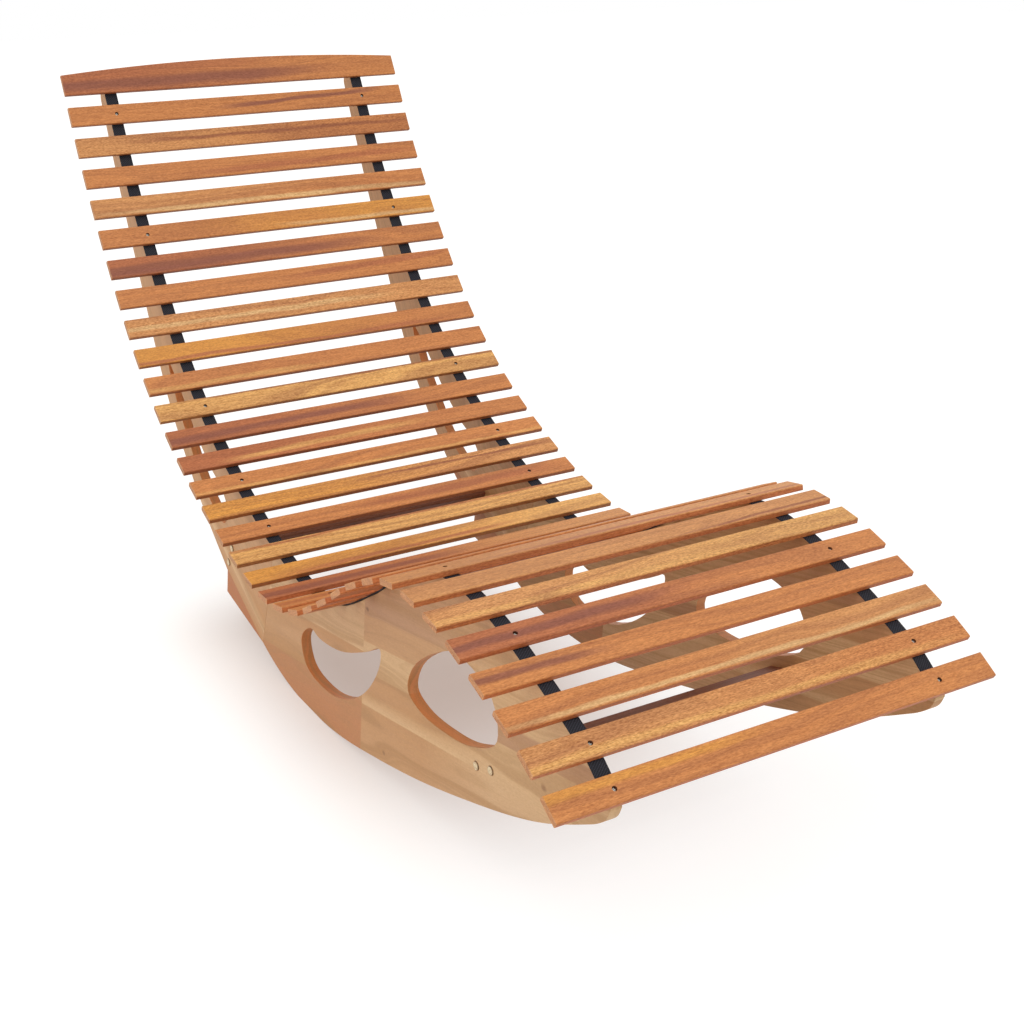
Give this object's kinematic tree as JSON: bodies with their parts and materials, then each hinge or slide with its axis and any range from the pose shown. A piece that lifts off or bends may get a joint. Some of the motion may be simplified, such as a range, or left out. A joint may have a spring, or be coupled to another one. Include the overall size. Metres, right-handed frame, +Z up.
{
  "type": "rocking chaise lounge",
  "caption": "Slatted timber rocking lounger: a long S-shaped seat of spaced slats on webbing, carried by side frames with curved rocker edges and leaf, crescent and oval cut-outs.",
  "frame": {"origin": "on the floor, under the middle of the chair's box", "axes": "+Z up; +Y from the foot end to the head end; +X to the sitter's left, along the slats"},
  "size_m": [0.6, 1.5404, 0.833],
  "materials": {
    "orange_slats": "oiled orange-brown acacia, planed, satin",
    "gold_slats": "oiled golden acacia, planed, satin",
    "russet_slats": "oiled russet acacia heartwood, planed, satin",
    "boards": "pale finger-jointed acacia, sanded, matt oil",
    "rails": "dark brown acacia, sanded, matt oil",
    "plugs": "pale turned hardwood, end grain, standing about 1 mm proud",
    "webbing": "black woven synthetic webbing, matt",
    "screws": "zinc-plated steel"
  },
  "bodies": {
    "root": {"slat_01_crest": "russet_slats", "slat_02": "orange_slats", "slat_03": "orange_slats", "slat_04": "orange_slats", "slat_05": "orange_slats", "slat_06": "gold_slats", "slat_07": "russet_slats", "slat_08": "orange_slats", "slat_09": "orange_slats", "slat_10": "gold_slats", "slat_11": "orange_slats", "slat_12": "gold_slats", "slat_13": "russet_slats", "slat_14": "orange_slats", "slat_15": "orange_slats", "slat_16": "orange_slats", "slat_17": "orange_slats", "slat_18": "gold_slats", "slat_19": "gold_slats", "slat_20": "russet_slats", "slat_21": "orange_slats", "slat_22": "orange_slats", "slat_23": "orange_slats", "slat_24": "gold_slats", "slat_25": "orange_slats", "slat_26": "orange_slats", "slat_27": "orange_slats", "slat_28": "orange_slats", "slat_29": "orange_slats", "slat_30": "gold_slats", "slat_31": "russet_slats", "slat_32": "orange_slats", "slat_33": "orange_slats", "slat_34": "orange_slats", "slat_35_foot": "orange_slats", "right_strap": "webbing", "right_back_board": "boards", "right_rocker_board": "boards", "left_strap": "webbing", "left_back_board": "boards", "left_rocker_board": "boards", "front_rail": "rails", "right_front_rail_plug_1": "plugs", "right_front_rail_screw_1": "screws", "right_front_rail_plug_2": "plugs", "right_front_rail_screw_2": "screws", "left_front_rail_plug_1": "plugs", "left_front_rail_screw_1": "screws", "left_front_rail_plug_2": "plugs", "left_front_rail_screw_2": "screws", "rear_rail": "rails", "right_rear_rail_plug_1": "plugs", "right_rear_rail_screw_1": "screws", "right_rear_rail_plug_2": "plugs", "right_rear_rail_screw_2": "screws", "left_rear_rail_plug_1": "plugs", "left_rear_rail_screw_1": "screws", "left_rear_rail_plug_2": "plugs", "left_rear_rail_screw_2": "screws"}
  },
  "joints": []
}
